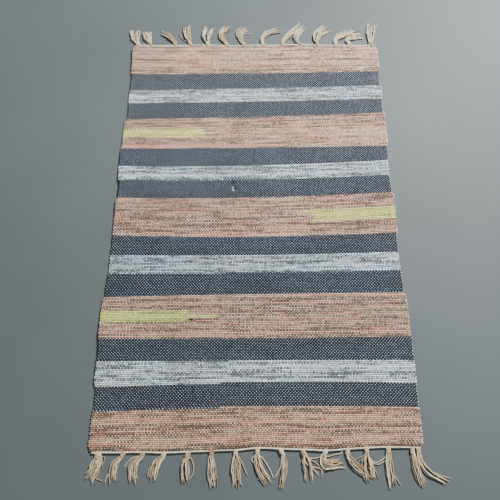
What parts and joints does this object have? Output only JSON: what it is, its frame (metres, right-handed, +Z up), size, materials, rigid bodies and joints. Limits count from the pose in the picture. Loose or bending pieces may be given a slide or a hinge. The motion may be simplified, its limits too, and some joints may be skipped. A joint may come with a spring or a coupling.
{
  "type": "woven rug with tasselled ends",
  "caption": "Flat-woven cotton rug with crosswise stripes in salmon, charcoal and white, short lime inlays at the selvedges, and knotted cream tassels along both ends.",
  "frame": {"origin": "middle of the woven cloth, on the floor that its underside lies on", "axes": "+X to the right along the ends and the stripes, +Y along the selvedges to the far end of the picture, +Z up out of the floor"},
  "size_m": [0.6411, 1.0612, 0.0062],
  "materials": {
    "woven_cotton": "Plain weave of thick soft cotton weft over a thin cream warp, in stripes of mottled salmon, charcoal and white yarn; matt, ribbed and slightly hairy.",
    "cream_cotton": "Undyed cream cotton yarn, twisted and matt, knotted into tassels with frayed ends."
  },
  "bodies": {
    "root": {"cloth": "woven_cotton", "fringe_far": "cream_cotton", "fringe_near": "cream_cotton"}
  },
  "joints": []
}
